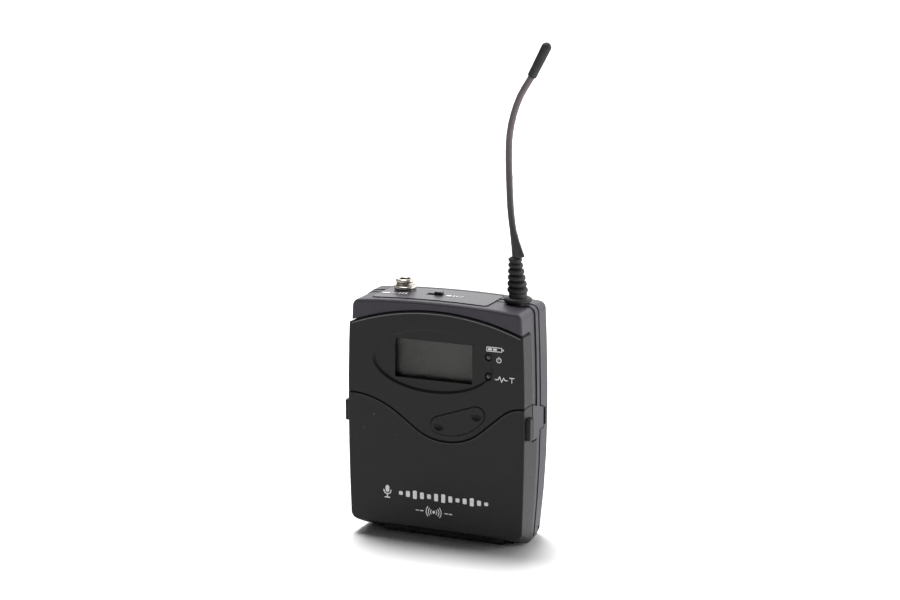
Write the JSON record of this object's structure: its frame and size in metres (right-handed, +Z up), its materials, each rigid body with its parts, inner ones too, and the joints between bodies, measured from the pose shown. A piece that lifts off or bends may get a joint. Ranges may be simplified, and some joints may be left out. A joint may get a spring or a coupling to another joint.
{
  "type": "wireless bodypack transmitter",
  "caption": "Pocket-sized radio microphone transmitter with display, hinged battery cover, screw-lock socket, flexible whip antenna and spring belt clip.",
  "frame": {"origin": "middle of the flat foot that the case stands on", "axes": "+Z up the case towards the antenna, -Y out of the display face, +X to the right as the display is read"},
  "size_m": [0.0687, 0.0327, 0.1695],
  "materials": {
    "case_grey": "fine-textured dark grey moulding",
    "plate_grey": "satin dark grey film",
    "panel_black": "fine matt near-black moulding",
    "key_grey": "matt grey",
    "key_black": "satin black",
    "tray_black": "matt black moulding",
    "rubber": "matt black rubber",
    "whip_sleeve": "brown-black plastic sleeve",
    "nickel": "warm nickel plating",
    "steel": "plain steel",
    "clip_black": "black-coated spring steel",
    "lens_clear": "clear window",
    "lcd_green": "grey-green liquid crystal, switched off",
    "lamp_red": "dark red lens, unlit",
    "lamp_amber": "dark amber lens, unlit",
    "board_green": "solder-masked circuit board",
    "cell_jacket": "plain blue jacket"
  },
  "bodies": {
    "case": {"front_shell": "case_grey", "mid_frame": "case_grey", "rear_shell": "case_grey", "top_plate": "plate_grey", "display_panel": "panel_black", "lcd_backlight": "key_grey", "mute_switch": "key_black", "jack_body": "key_black", "board_connector": "key_black", "chip_processor": "key_black", "chip_audio": "key_black", "chip_power": "key_black", "battery_tray": "tray_black", "boot_flange": "rubber", "jack_bushing": "nickel", "jack_nut": "nickel", "antenna_ferrule": "nickel", "battery_contact_lower": "nickel", "battery_contact_upper": "nickel", "battery_spring_lower": "nickel", "battery_spring_upper": "nickel", "charging_contact_left": "nickel", "charging_contact_right": "nickel", "hinge_pin_left": "steel", "hinge_pin_right": "steel", "case_screw_left": "steel", "case_screw_right": "steel", "switch_down": "steel", "switch_up": "steel", "switch_set": "steel", "switch_power": "steel", "rf_shield": "steel", "clip_bracket": "clip_black", "lcd_window": "lens_clear", "lcd_glass": "lcd_green", "led_status": "lamp_red", "led_peak": "lamp_amber", "display_board": "board_green", "main_board": "board_green", "battery_lower": "cell_jacket", "battery_upper": "cell_jacket"},
    "cover": {"battery_cover": "panel_black"},
    "catch_left": {"catch_left": "panel_black"},
    "catch_right": {"catch_right": "panel_black"},
    "rocker": {"rocker_button": "panel_black"},
    "set_key": {"set_key": "key_grey"},
    "power_key": {"power_key": "key_grey"},
    "mute_slider": {"mute_knob": "key_black"},
    "clip_tongue": {"clip_tongue": "clip_black"},
    "antenna": {"boot_sleeve": "rubber", "antenna_whip": "whip_sleeve", "antenna_tip": "rubber"}
  },
  "joints": [
    {"name": "cover_hinge", "type": "hinge", "parent": "case", "child": "cover", "pos_m": [0, -0.0026, 0.0022], "axis": [1, 0, 0], "range_deg": [0, 100]},
    {"name": "catch_left_press", "type": "slide", "parent": "cover", "child": "catch_left", "axis": [1, 0, 0], "range_m": [0, 0.001], "stiffness_N_per_m": 400},
    {"name": "catch_right_press", "type": "slide", "parent": "cover", "child": "catch_right", "axis": [-1, 0, 0], "range_m": [0, 0.001], "stiffness_N_per_m": 400},
    {"name": "rocker_tilt", "type": "hinge", "parent": "case", "child": "rocker", "pos_m": [0.0082, -0.0092, 0.0441], "axis": [-0.3328, 0, 0.943], "range_deg": [-2.5, 2.5], "stiffness_Nm_per_rad": 0.05},
    {"name": "set_key_press", "type": "slide", "parent": "case", "child": "set_key", "axis": [0, 1, 0], "range_m": [0, 0.0004], "stiffness_N_per_m": 800},
    {"name": "power_key_press", "type": "slide", "parent": "case", "child": "power_key", "axis": [0, 1, 0], "range_m": [0, 0.0004], "stiffness_N_per_m": 800},
    {"name": "mute_slide", "type": "slide", "parent": "case", "child": "mute_slider", "axis": [-1, 0, 0], "range_m": [0, 0.0022]},
    {"name": "clip_spring", "type": "hinge", "parent": "case", "child": "clip_tongue", "pos_m": [0, 0.0158, 0.0676], "axis": [1, 0, 0], "range_deg": [0, 8], "stiffness_Nm_per_rad": 1},
    {"name": "antenna_flex", "type": "hinge", "parent": "case", "child": "antenna", "pos_m": [0.0242, 0.00165, 0.0852], "axis": [0, 1, 0], "range_deg": [-15, 15], "stiffness_Nm_per_rad": 0.06}
  ]
}
